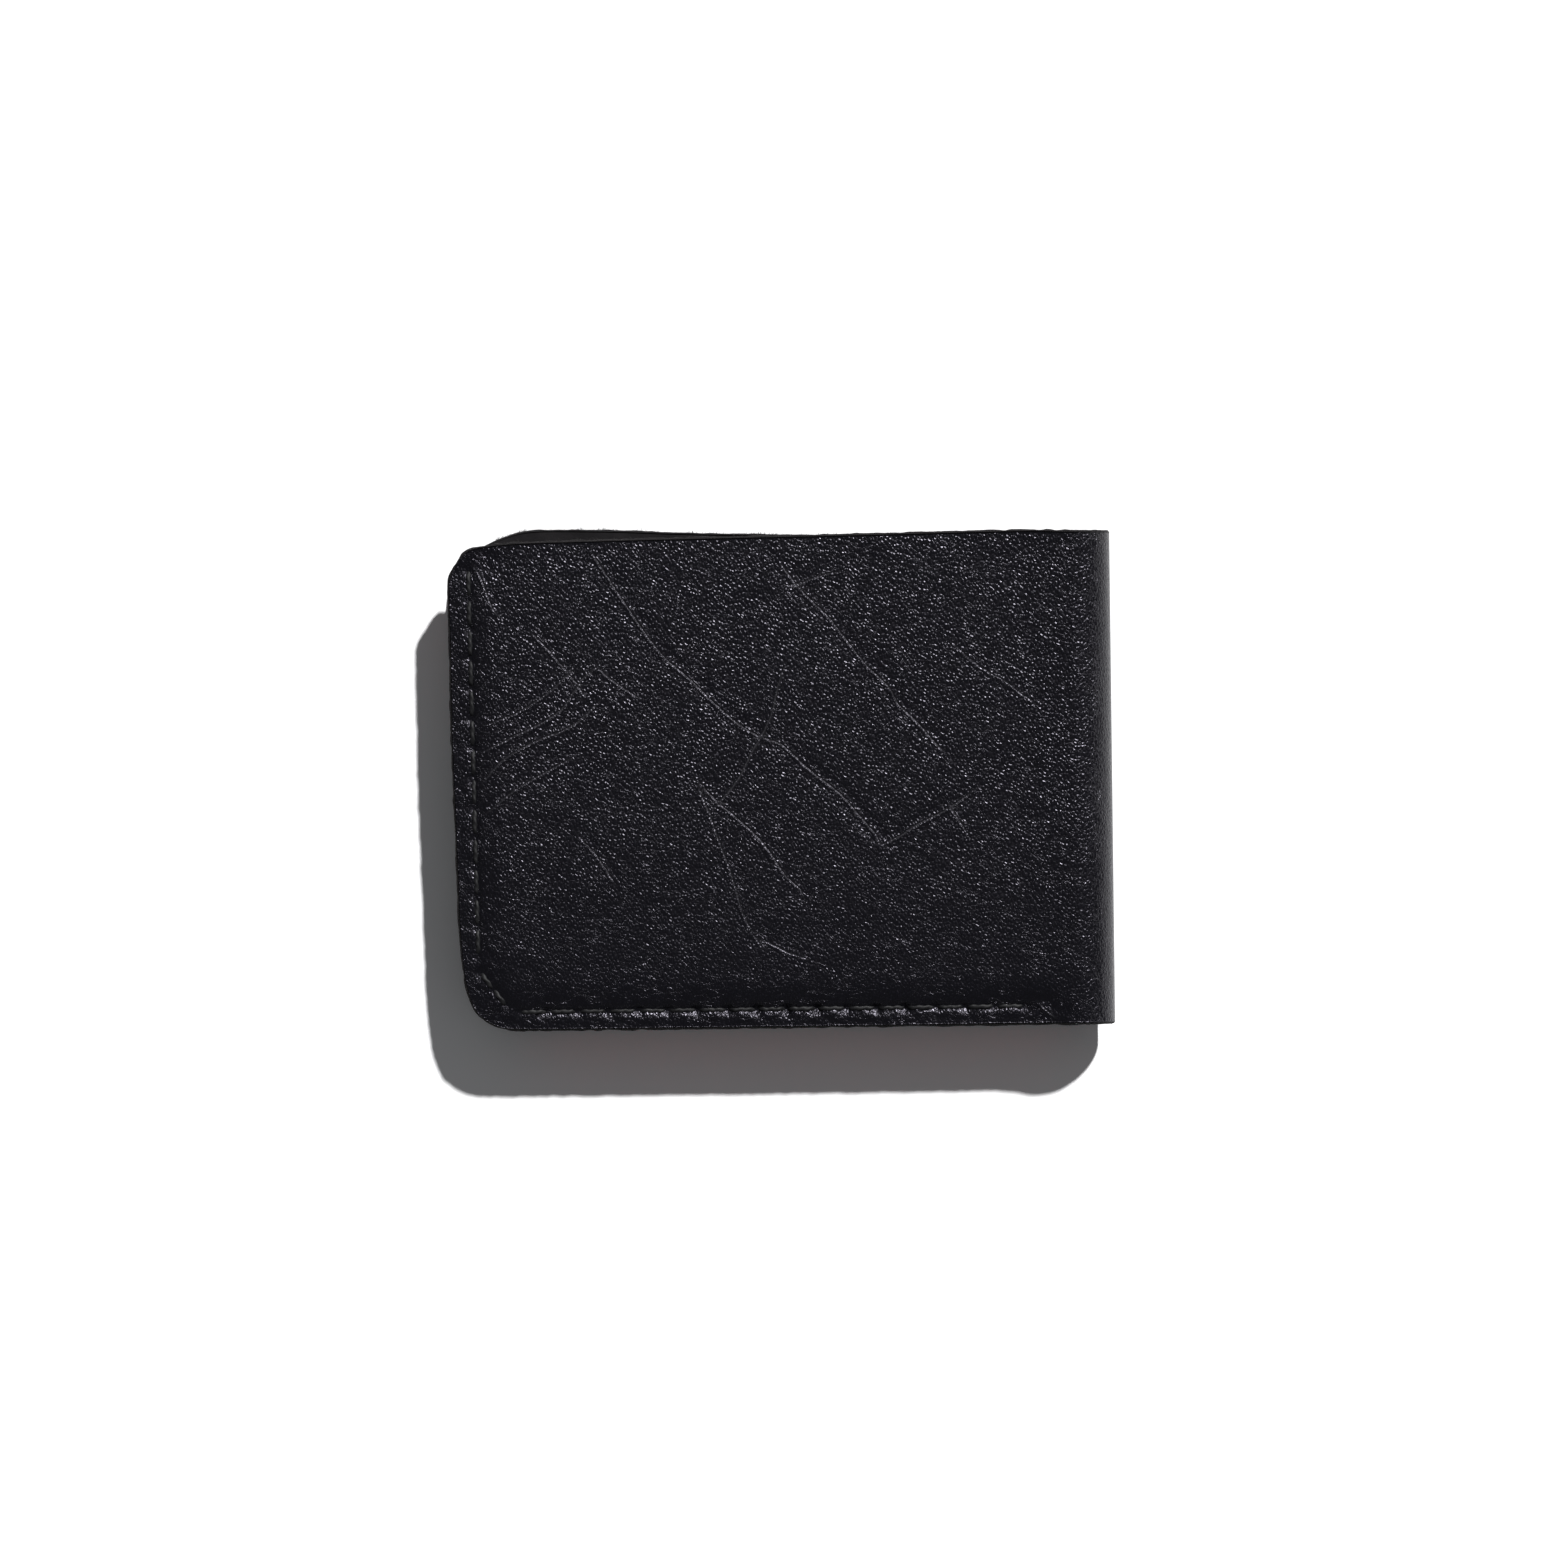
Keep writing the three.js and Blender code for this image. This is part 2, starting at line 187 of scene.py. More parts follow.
# wrinkles of the front cover, as they lie on the hide (mm)
WRINKLES_FRONT = [
    ([(-31.3, 38.3), (-28.2, 33.2), (-25.4, 28.9), (-22.2, 24.1), (-19.2, 20.2), (-15.0, 16.5), (-10.9, 12.4), (-7.3, 9.2), (-3.4, 6.8),
      (-0.1, 5.6), (3.8, 2.0), (6.6, -0.3), (9.7, -2.8), (12.8, -6.4), (15.4, -9.5), (16.6, -12.2)], 0.10, 0.42),
    ([(-15.0, 1.1), (-13.2, -1.1), (-10.6, -3.9), (-7.8, -6.3), (-4.3, -9.6), (-2.1, -12.3), (0.6, -16.4), (2.9, -18.6), (3.8, -20.9)], 0.06, 0.40),
    ([(-0.3, 36.4), (2.1, 32.9), (4.9, 29.7), (7.8, 26.8), (10.5, 23.3), (14.4, 18.3), (17.9, 14.8), (19.5, 11.9), (21.9, 9.6), (24.3, 6.9), (27.5, 3.2)], 0.08, 0.42),
    ([(27.1, -4.1), (29.1, -7.1), (31.4, -10.8)], 0.05, 0.40),
    ([(-51.3, 36.8), (-50.0, 34.8), (-48.8, 32.0), (-47.7, 29.0), (-46.0, 26.2)], 0.06, 0.40),
    ([(-50.3, 4.4), (-44.0, 7.5), (-36.7, 11.4), (-32.6, 16.9), (-29.1, 19.8)], 0.05, 0.45),
    ([(-50.2, -1.0), (-45.9, 3.6), (-40.5, 6.6), (-34.6, 9.0), (-29.0, 14.0)], 0.05, 0.45),
    ([(-49.8, 9.0), (-43.0, 11.6), (-37.0, 15.8), (-33.0, 20.4)], 0.04, 0.45),
    ([(-49.7, -6.0), (-44.0, -1.4), (-39.0, 1.4), (-33.0, 4.6)], 0.04, 0.45),
    ([(41.4, -37.2), (43.4, -39.0), (45.4, -40.6)], 0.16, 0.60),
]


def random_wrinkles(seed, n):
    r = np.random.RandomState(seed)
    out = []
    for _ in range(n):
        x, y = r.uniform(-44, 36), r.uniform(-28, 34)
        a = math.radians(r.uniform(-70, -35) if r.rand() < 0.75 else r.uniform(10, 50))
        pts = [(x, y)]
        for _ in range(r.randint(3, 9)):
            a += r.uniform(-0.22, 0.22)
            x, y = x + 4 * math.cos(a), y + 4 * math.sin(a)
            if not (-47 < x < 44 and -33 < y < 37):
                break
            pts.append((x, y))
        if len(pts) > 2:
            out.append((pts, r.uniform(0.03, 0.075), 0.42))
    return out


WRINKLES = {"front": WRINKLES_FRONT + random_wrinkles(11, 10), "back": random_wrinkles(23, 22)}

SEWN = {h: np.vstack([dense([(47.0, FOOT_Y), (20.0, FOOT_Y), (-20.0, FOOT_Y), (-38.0, FOOT_Y)]), dense(EDGE[h])]) for h in EDGE}


def seam_shape(half, x, y):
    """How far the leather of a half is pressed in by its edge seam, and how it puckers at each stitch."""
    p = np.stack([x, y], 1)
    e, _ = near(p, SEWN[half][::2])
    fade = sstep(49.0, 41.0, x) * sstep(41.5, 34.0, y)
    dip = 0.95 * (1 - sstep(0.0, 8.5, e)) ** 1.15 * (0.35 + 0.65 * fade)
    groove = np.zeros(len(x)); pits = np.zeros(len(x)); pucker = np.zeros(len(x))
    for row in ("side", "corner", "foot"):
        a, b, n = ROWS[row]
        a, b = np.array(a), np.array(b)
        length = np.linalg.norm(b - a)
        t = (p - a) @ (b - a) / length
        off = np.abs((p - a) @ np.array([-(b - a)[1], (b - a)[0]]) / length)
        ends = sstep(-1.6, 0.4, t) * sstep(length + 1.6, length - 0.4, t)
        groove = np.maximum(groove, 0.34 * np.exp(-(off / 0.62) ** 2) * ends)
        phase = np.cos(2 * math.pi * t / (length / n))
        pucker = np.where(off < 4.5, np.maximum(pucker, phase * np.exp(-(off / 1.9) ** 2) * ends), pucker)
    for row in ("side", "corner", "foot"):
        for i, q in enumerate(row_points(row)):
            r = np.hypot(x - q[0], y - q[1])
            k = 0.8 + 0.4 * math.sin(i * 12.9898 + len(row))
            pits = np.maximum(pits, 0.42 * k * np.exp(-(r / 0.95) ** 2))
    return dip, groove, pits, pucker, e


def pillow(half, x, y):
    """The closed wallet is fullest in the middle."""
    k = np.clip((x + 2) / 53, -1, 1) ** 4 * 0.22 + np.clip(y / 41, -1, 1) ** 4 * 0.18
    return k * sstep(FOLD_X, FOLD_X - 10, x) if half == "front" else 0.0 * x


def relief(half, x, y):
    """Depth of the cover's outer face below its plane, in millimetres."""
    dip, groove, pits, pucker, e = seam_shape(half, x, y)
    flat = sstep(57.5, 46.0, x)
    calm = 0.45 + 0.55 * sstep(-47.0, -40.0, x)      # the side seam is pulled less than the foot's
    w = dip + groove * 1.15 * calm + pits * 1.15 * calm + 0.15 * pucker * calm
    crink = vnoise(x, y, 0.95, 21) * 0.6 + vnoise(x * 1.3 + y, y - 0.4 * x, 1.3, 22) * 0.5
    w += 0.13 * crink * np.exp(-((e - 3.1) / 1.5) ** 2) * sstep(49.0, 43.0, x) * calm
    crimp = vnoise(x * 1.25, y * 1.1 + 0.5 * x, 1.0, 24) + 0.6 * vnoise(x * 1.8 - y, y * 1.6, 1.0, 25)
    w += 0.12 * crimp * np.exp(-((e - 2.9) / 1.25) ** 2) * sstep(-30.0, -36.0, y) * sstep(47.0, 42.0, x)
    w += 0.06 * vnoise(x + 0.8 * y, (y - x) * 0.45, 0.85, 23) * sstep(9.0, 4.0, e)
    seed = 3 if half == "front" else 7
    w += 0.05 * vnoise(x, y, 0.11, seed) + 0.024 * vnoise(x, y, 0.33, seed + 1) + 0.010 * vnoise(x, y, 0.8, seed + 2)
    w += 0.02 * vnoise(x * 0.7 + y * 0.7, (y - x) * 0.7 * 0.35, 0.6, seed + 3) * sstep(2, 20, e)
    p = np.stack([x, y], 1)
    for pts, depth, width in WRINKLES[half]:
        c = dense(pts, 0.25)
        box = (x > c[:, 0].min() - 3) & (x < c[:, 0].max() + 3) & (y > c[:, 1].min() - 3) & (y < c[:, 1].max() + 3)
        if not box.any():
            continue
        d, s = near(p[box], c)
        total = lengths(c)[-1]
        fade = sstep(0, 3, s) * sstep(total, total - 3, s)
        w[box] += fade * depth * 2.2 * (np.exp(-((d - 0.75) / 0.5) ** 2) * 0.6 - np.exp(-(d / (0.8 * width)) ** 2))
    w += pillow(half, x, y)
    if half == "back":   # it rests on its face, so nothing stands proud of it
        w = np.maximum(w + 0.06, 0.0)
    else:
        w = np.maximum(w, -0.02)
    return w * (0.35 + 0.65 * flat) * sstep(FOLD_X + QUARTER, FOLD_X + QUARTER - 4, x) + 0.02


def fold_field(half, x, y):
    """Signed distance (mm) to the nearest wrinkle line, and how strong it is there."""
    p = np.stack([x, y], 1)
    best, dist, amp = np.full(len(x), 9.0), np.full(len(x), 9.0), np.zeros(len(x))
    for pts, depth, width in WRINKLES[half]:
        c = dense(pts, 0.25)
        box = np.flatnonzero((x > c[:, 0].min() - 2) & (x < c[:, 0].max() + 2) & (y > c[:, 1].min() - 2) & (y < c[:, 1].max() + 2))
        if not len(box):
            continue
        q = p[box]
        d, k = np.empty(len(q)), np.empty(len(q), int)
        for i in range(0, len(q), 6000):
            m = ((q[i:i + 6000, None, :] - c[None]) ** 2).sum(2)
            k[i:i + 6000] = m.argmin(1)
            d[i:i + 6000] = np.sqrt(m.min(1))
        t = np.gradient(c, axis=0)
        t /= np.linalg.norm(t, axis=1)[:, None]
        side = t[k, 0] * (q[:, 1] - c[k, 1]) - t[k, 1] * (q[:, 0] - c[k, 0])
        s = lengths(c)
        fade = sstep(0, 4, s[k]) * sstep(s[-1], s[-1] - 4, s[k])
        ok = d < best[box]
        best[box[ok]], dist[box[ok]], amp[box[ok]] = d[ok], side[ok], fade[ok] * depth
    return np.stack([dist, amp, 0 * amp], 1)


# ---------------------------------------------------------------- meshes
def mesh_object(name, verts, faces, mats, face_mat=None, pat=None, fold=None):
    me = bpy.data.meshes.new(name)
    me.from_pydata(np.asarray(verts, float).tolist(), [], [tuple(int(i) for i in f) for f in faces])
    me.polygons.foreach_set("use_smooth", np.ones(len(me.polygons), bool))
    for m in mats:
        me.materials.append(m)
    if face_mat is not None:
        me.polygons.foreach_set("material_index", np.asarray(face_mat, np.int32))
    if pat is not None:
        a = me.attributes.new("pat", "FLOAT_VECTOR", "POINT")
        a.data.foreach_set("vector", np.asarray(pat, np.float32).ravel())
    if fold is not None:
        a = me.attributes.new("fold", "FLOAT_VECTOR", "POINT")
        a.data.foreach_set("vector", np.asarray(fold, np.float32).ravel())
    me.validate(clean_customdata=False)
    me.update()
    if fold is not None:    # the two halves of the hide meet at the middle of the bend, where the pattern starts
        at_cut = np.abs(np.asarray(pat)[:, 0]) < 1e-5
        ev = np.empty(len(me.edges) * 2, np.int32)
        me.edges.foreach_get("vertices", ev)
        ev = ev.reshape(-1, 2)
        me.attributes.new("sharp_edge", "BOOLEAN", "EDGE").data.foreach_set("value", at_cut[ev].all(1))
        me.update()
    ob = bpy.data.objects.new(name, me)
    scene.collection.objects.link(ob)
    return ob


def grid_faces(nv, nu, base=0, flip=False):
    i = np.arange(nv * nu).reshape(nv, nu) + base
    q = np.stack([i[:-1, :-1], i[:-1, 1:], i[1:, 1:], i[1:, :-1]], -1).reshape(-1, 4)
    return q[:, ::-1] if flip else q


def coons(b, t, l, r, u, v):
    """A grid that fits four boundary curves: b and t run along u, l and r along v."""
    uu, vv = np.meshgrid(u, v)
    uu, vv = uu[..., None], vv[..., None]
    return ((1 - vv) * b[None] + vv * t[None] + (1 - uu) * l[:, None] + uu * r[:, None]
            - ((1 - uu) * (1 - vv) * b[0] + uu * (1 - vv) * b[-1] + (1 - uu) * vv * t[0] + uu * vv * t[-1]))


def border(nv, nu):
    i = np.arange(nv * nu).reshape(nv, nu)
    return np.concatenate([i[0, :-1], i[:-1, -1], i[-1, :0:-1], i[:0:-1, 0]])


def slab(half, xy, w0, w1, mats, name=None, bulge=0.3, rows=6, cut_side=None, seed=0, parts=None):
    """A sheet of leather: the outer face at depth w0, the inner at w1 (grids of depths), and a rounded raw edge between
    them.
    mats is not used; the face materials are 0 for the outer face, 1 for the inner face and 2 for the edge. Returns
    vertices, faces, face materials and pattern points."""
    nv, nu = xy.shape[:2]
    x, y = xy[..., 0].ravel(), xy[..., 1].ravel()
    w0, w1 = np.asarray(w0).ravel(), np.asarray(w1).ravel()
    loop = border(nv, nu)
    n = len(loop)
    px, py = x[loop], y[loop]
    tx, ty = np.roll(px, -1) - np.roll(px, 1), np.roll(py, -1) - np.roll(py, 1)
    tl = np.hypot(tx, ty) + 1e-9
    nx, ny = ty / tl, -tx / tl      # the border runs counter-clockwise, so this points out
    amount = np.full(n, bulge)
    if cut_side == "right":          # where the hide runs on into the next piece
        amount = np.where(px > px.max() - 1e-6, 0.0, amount)
        nx = np.where(px > px.max() - 1e-6, 0.0, nx)
    if cut_side == "both":
        amount = np.where((px > px.max() - 1e-6) | (px < px.min() + 1e-6), 0.0, amount)
    s = np.cumsum(tl) / 2
    amount = amount * (1 + 0.35 * vnoise(s, 0 * s, 0.7, 31 + seed) * (amount > 0))
    vx, vy, vw = [x, x], [y, y], [w0, w1]
    for k in range(1, rows):
        t = k / rows
        a = (1 - abs(2 * t - 1) ** 2.6) ** (1 / 2.6)
        wob = 1 + 0.2 * vnoise(s, s * 0 + k * 1.7, 1.6, 41 + seed)
        vx.append(px + nx * amount * a * wob)
        vy.append(py + ny * amount * a * wob)
        vw.append(w0[loop] * (1 - t) + w1[loop] * t)
    vx, vy, vw = map(np.concatenate, (vx, vy, vw))
    flip = half == "front"
    m = nv * nu
    out = grid_faces(nv, nu, 0, flip=not flip)
    inn = grid_faces(nv, nu, m, flip=flip)
    rings = [loop] + [2 * m + np.arange(n) + (k - 1) * n for k in range(1, rows)] + [loop + m]
    walls = []
    for a, b in zip(rings, rings[1:]):
        q = np.stack([a, np.roll(a, -1), np.roll(b, -1), b], 1)
        walls.append(q if not flip else q[:, ::-1])
    walls = np.vstack(walls)[:, ::-1]
    faces = np.vstack([out, inn, walls])
    fm = np.concatenate([np.full(len(out), 0), np.full(len(inn), 1), np.full(len(walls), 2)])
    return place(half, vx, vy, vw), faces, fm, pattern(half, vx, vy, vw)


def joined(name, made, mats):
    """Several sheets in one object."""
    vs, fs, ms, ps, base = [], [], [], [], 0
    for v, f, m, p in made:
        vs.append(v); fs.append(np.asarray(f) + base); ms.append(m); ps.append(p)
        base += len(v)
    return mesh_object(name, np.vstack(vs), np.vstack(fs), mats, np.concatenate(ms), np.vstack(ps))


def inset(x, y):
    """The raw edge bulges out by 0.3 mm, so the sheet itself is that much smaller than the outline."""
    return x + 0.28 * np.clip((46 - x) / 101, 0, 1), y * (1 - 0.28 / 41.5)


def cover_grid(half):
    foot = [(-34.0, FOOT_Y), (-37.0, FOOT_Y)]
    c = dense(foot + EDGE[half] + MOUTH[half], 0.1)
    k0 = np.argmin(np.hypot(c[:, 0] + 50.2, c[:, 1] + 39.4))
    corner = (-53.3, 36.9) if half == "front" else (-51.6, 37.9)
    k1 = np.argmin(np.hypot(c[:, 0] - corner[0], c[:, 1] - corner[1]))
    end = FOLD_X + QUARTER
    bottom = np.vstack([c[:k0 + 1][::-1], [[end, FOOT_Y]]])
    left, top = c[k0:k1 + 1], c[k1:]
    lb, ll = lengths(bottom)[-1], lengths(left)[-1]
    u = spaced(lb, [(8.0, 0.33), (lb - 10, 0.50), (lb, 0.34)])
    v = spaced(ll, [(8.0, 0.33), (ll - 2, 0.50), (ll, 0.33)])
    right = np.array([[end, FOOT_Y], [end, top[-1][1]]])
    xy = coons(along(bottom, u), along(top, u), along(left, v), along(right, v), u, v)
    x, y = inset(xy[..., 0], xy[..., 1])
    x[:, -1] = end
    return np.stack([x, y], -1)


def lift(half, x, y):
    """Where the seam squeezes the stack, how much of its thickness is taken up (mm at the cover's face)."""
    p = np.stack([np.ravel(x), np.ravel(y)], 1)
    e, _ = near(p, SEWN[half][::3])
    fade = sstep(49.0, 41.0, p[:, 0]) * sstep(41.5, 34.0, p[:, 1])
    along_seam = np.where(p[:, 1] < -35, p[:, 0] + 44.1, p[:, 1] + 29.0)
    scallop = 0.10 * np.cos(2 * math.pi * along_seam / 4.94) * sstep(6.5, 2.0, e)
    return ((0.95 * (1 - sstep(0.0, 8.5, e)) ** 1.15 + scallop) * (0.35 + 0.65 * fade)
            + pillow(half, p[:, 0], p[:, 1])).reshape(np.shape(x))


def squeeze(half, x, y, w):
    return w + lift(half, x, y) * np.clip(1 - w / W_TOP, 0, 1)


def left_edge(half, y0, y1, step=0.3):
    c = dense([(-34.0, FOOT_Y), (-37.0, FOOT_Y)] + EDGE[half], 0.1)
    return c


def panel(half, top, w0, w1, seed, rim, fold_side=False, crease_at=2.0, end=PANEL_END, shrink=0.25):
    """A panel sewn along the free edge and the foot (and the fold side), straight across at its mouth. Its sewn rim starts at depth rim."""
    c = left_edge(half, 0, 0)
    k0 = np.argmin(np.hypot(c[:, 0] + 50.2, c[:, 1] + 39.4))
    k1 = np.argmin(np.abs(c[k0:, 1] - top)) + k0
    bottom = np.vstack([c[:k0 + 1][::-1], [[end, FOOT_Y]]])
    left = c[k0:k1 + 1]
    topc = np.array([left[-1], [end, left[-1][1]]])
    right = np.array([[end, FOOT_Y], [end, left[-1][1]]])
    lb, ll = lengths(bottom)[-1], lengths(left)[-1]
    u = spaced(lb, [(7.0, 0.45), (lb - 7, 0.9), (lb, 0.45)])
    v = spaced(ll, [(7.0, 0.45), (ll - 4, 0.9), (ll, 0.22)])
    xy = coons(along(bottom, u), along(topc, u), along(left, v), along(right, v), u, v)
    x, y = inset(xy[..., 0], xy[..., 1])
    edge_in = np.clip((end - x) / 100.0, 0, 1)
    x = x + (shrink + 0.14 * vnoise(y, 0 * y, 0.12, seed)) * edge_in
    y = y + (shrink + 0.14 * vnoise(x, 0 * x, 0.12, seed + 5)) * np.clip((10 - y) / 51.5, 0, 1)
    e = near(np.stack([x.ravel(), y.ravel()], 1), SEWN[half][::3])[0].reshape(x.shape)
    d = np.minimum(e, end - x) if fold_side else e
    wave = 0.10 * vnoise(x, y, 0.05, seed) + 0.03 * vnoise(x, y, 0.2, seed + 1)
    wave = wave * sstep(3, 9, e) * sstep(end, end - 6, x)
    mouth = topc[0][1] - y
    crease = 0.15 * np.exp(-((mouth - crease_at) / 0.26) ** 2)
    grooves = np.zeros_like(x)
    for row, n in (("foot", 17), ("side", 13), ("corner", 2)) + ((("inner", 12),) if fold_side else ()):
        p0, p1, _ = ROWS[row]
        p0, p1 = np.array(p0), np.array(p1)
        length = np.linalg.norm(p1 - p0)
        t = ((x - p0[0]) * (p1 - p0)[0] + (y - p0[1]) * (p1 - p0)[1]) / length
        off = np.abs((x - p0[0]) * (p1 - p0)[1] - (y - p0[1]) * (p1 - p0)[0]) / length
        ends = sstep(-1.6, 0.4, t) * sstep(length + 1.6, length - 0.4, t)
        hole = 0.5 + 0.5 * np.cos(2 * math.pi * t / (length / n))
        grooves = np.maximum(grooves, (0.20 + 0.24 * hole ** 3) * np.exp(-(off / 0.7) ** 2) * ends)
    a = squeeze(half, x, y, rim + (w0 - rim) * sstep(3.4, 6.4, d) + wave)
    b = squeeze(half, x, y, w1 + wave)
    return np.stack([x, y], -1), a, b - crease - (grooves if w1 > 6 or not fold_side else 0)


def strip_along(half, y_end, w0, w1, seed, width=5.0, shrink=0.1):
    """A welt ply that follows the free edge and the foot."""
    c = left_edge(half, 0, 0)
    k1 = np.argmin(np.abs(c[len(c) // 3:, 1] - y_end)) + len(c) // 3
    c = np.vstack([[[PANEL_END, FOOT_Y]], c[:k1 + 1]])
    total = lengths(c)[-1]
    c = along(c, np.linspace(0, 1, int(total / 0.6)))
    t = np.gradient(c, axis=0)
    t /= np.linalg.norm(t, axis=1)[:, None]
    n = np.stack([t[:, 1], -t[:, 0]], 1)          # inwards
    for _ in range(12):
        n[1:-1] = (n[:-2] + n[1:-1] + n[2:]) / 3
    n /= np.linalg.norm(n, axis=1)[:, None]
    across = np.linspace(0, 1, 9)
    s_at = lengths(c)
    shrink = (shrink + 0.14 * vnoise(s_at, 0 * s_at, 0.12, seed))[None, :, None]
    xy = c[None] + n[None] * (shrink + 0.25 + across[:, None, None] * (width - shrink))
    xy = xy[:, ::-1]                              # counter-clockwise border
    x, y = xy[..., 0], xy[..., 1]
    return xy, squeeze(half, x, y, w0 + 0 * x), squeeze(half, x, y, w1 + 0 * x)


def rect(half, x0, x1, y0, y1, w0, w1, step=0.8, crease_top=None):
    u, v = np.linspace(0, 1, max(2, int((x1 - x0) / step))), np.linspace(0, 1, max(2, int((y1 - y0) / step)))
    x, y = np.meshgrid(x0 + u * (x1 - x0), y0 + v * (y1 - y0))
    return np.stack([x, y], -1), squeeze(half, x, y, w0 + 0 * x), squeeze(half, x, y, w1 + 0 * x)


def arms(half):
    """The arms of the T-shaped slot piece, from the free edge to the fold-side seam."""
    c = left_edge(half, 0, 0)
    k = len(c) // 3
    y = np.concatenate([np.linspace(SLOT_ARM, SLOT_TOP - 4, 16)[:-1], np.linspace(SLOT_TOP - 4, SLOT_TOP, 17)])
    lx = np.interp(y, c[k:, 1], c[k:, 0]) + 0.3
    u = spaced(100.0, [(7.0, 0.5), (95.0, 1.1), (100.0, 0.5)])
    x = lx[:, None] + (PANEL_END - lx)[:, None] * u[None]
    yy = np.repeat(y[:, None], len(u), 1)
    wave = 0.08 * vnoise(x, yy, 0.05, 71) * sstep(-50, -40, x) * sstep(46, 38, x)
    crease = 0.16 * np.exp(-((yy - (SLOT_TOP - 2.0)) / 0.28) ** 2)
    d = np.minimum(x - lx[:, None], PANEL_END - x)
    low = 3.24 + (W_SLOT[0] - 3.24) * sstep(3.4, 6.4, d)
    return np.stack([x, yy], -1), squeeze(half, x, yy, low + wave), squeeze(half, x, yy, W_SLOT[1] + wave) - crease


def stitch_tubes(half, paths, radius, twist=1.5, sides=10, rings=26):
    """Twisted thread: each path is a function of t in 0..1 giving (x, y, w)."""
    vs, fs, ps, base = [], [], [], 0
    for idx, path in enumerate(paths):
        t = np.linspace(0, 1, rings)
        q = path(t)
        c = place(half, q[:, 0], q[:, 1], q[:, 2]) * 1000
        s = lengths(c)
        tan = np.gradient(c, axis=0)
        tan /= np.linalg.norm(tan, axis=1)[:, None]
        up = np.array([0, 0, 1.0])
        side = np.cross(tan, up)
        bad = np.linalg.norm(side, axis=1) < 0.2
        side[bad] = side[~bad].mean(0) if (~bad).any() else [1, 0, 0]
        side /= np.linalg.norm(side, axis=1)[:, None]
        nor = np.cross(side, tan)
        a = np.linspace(0, 2 * np.pi, sides, endpoint=False)
        r = radius * (1 + 0.16 * np.cos(2 * (a[None] - s[:, None] * 2 * np.pi / (2 * twist)) + idx))
        r = r * (1 - 0.35 * (np.abs(2 * t - 1) ** 8))[:, None]
        v = c[:, None] + r[..., None] * (np.cos(a)[None, :, None] * side[:, None] * 1.12 + np.sin(a)[None, :, None] * nor[:, None] * 0.9)
        n = rings * sides
        vs.append(v.reshape(-1, 3) * 0.001)
        i = np.arange(n).reshape(rings, sides)
        j = np.roll(i, -1, 1)
        q4 = np.stack([i[:-1], j[:-1], j[1:], i[1:]], -1).reshape(-1, 4) + base
        fs += [tuple(f) for f in q4] + [tuple((i[0][::-1] + base).tolist()), tuple((i[-1] + base).tolist())]
        ps.append(np.stack([np.repeat(s, sides), np.tile(a, rings) * radius, np.full(n, idx * 1.0)], 1))
        base += n
    return np.vstack(vs), fs, np.vstack(ps)


def outer_path(half, a, b):
    def path(t):
        k = 0.03 + 0.94 * t
        x, y = a[0] + (b[0] - a[0]) * k, a[1] + (b[1] - a[1]) * k
        w = relief(half, x, y)
        mid = w[len(w) // 2]
        w = 0.45 * w + 0.55 * mid
        end = np.abs(2 * t - 1)
        return np.stack([x, y, w + 0.06 + 1.05 * end ** 7 + 0.12 * end ** 2], 1)
    return path


def inner_path(half, a, b, w_face, w_to, drop):
    """A stitch lying on an inner panel, from one hole to the next; at a mouth it steps over the lip."""
    def path(t):
        k = 0.03 + 0.94 * t
        x, y = a[0] + (b[0] - a[0]) * k, a[1] + (b[1] - a[1]) * k
        base = w_face + (w_to - w_face) * sstep(drop, 1.0, t) if drop is not None else w_face + 0 * t
        w = squeeze(half, x, y, base)
        end = np.abs(2 * t - 1)
        return np.stack([x, y, w + 0.12 - 1.0 * end ** 7 - 0.10 * end ** 2], 1)
    return path


# ---------------------------------------------------------------- materials
def nodes_of(name):
    m = bpy.data.materials.new(name)
    m.use_nodes = True
    nt = m.node_tree
    b = nt.nodes["Principled BSDF"]
    return m, nt, b


def add(nt, kind, **inputs):
    n = nt.nodes.new(kind)
    for k, v in inputs.items():
        n.inputs[k.replace("_", " ")].default_value = v
    return n


def mathn(nt, op, a, b=None, clamp=False):
    n = nt.nodes.new("ShaderNodeMath")
    n.operation = op
    n.use_clamp = clamp
    for i, v in enumerate((a, b)):
        if v is None:
            continue
        if isinstance(v, (int, float)):
            n.inputs[i].default_value = v
        else:
            nt.links.new(v, n.inputs[i])
    return n.outputs[0]


def rng(nt, v, a, b, c, d, kind="SMOOTHSTEP"):
    n = nt.nodes.new("ShaderNodeMapRange")
    n.interpolation_type = kind
    for i, k in ((1, a), (2, b), (3, c), (4, d)):
        n.inputs[i].default_value = k
    nt.links.new(v, n.inputs[0])
    return n.outputs[0]


def coords(nt, scale, rot=0.0):
    a = nt.nodes.new("ShaderNodeAttribute")
    a.attribute_name = "pat"
    m = nt.nodes.new("ShaderNodeMapping")
    m.inputs["Scale"].default_value = scale
    m.inputs["Rotation"].default_value = (0, 0, rot)
    nt.links.new(a.outputs["Vector"], m.inputs["Vector"])
    return m.outputs[0]


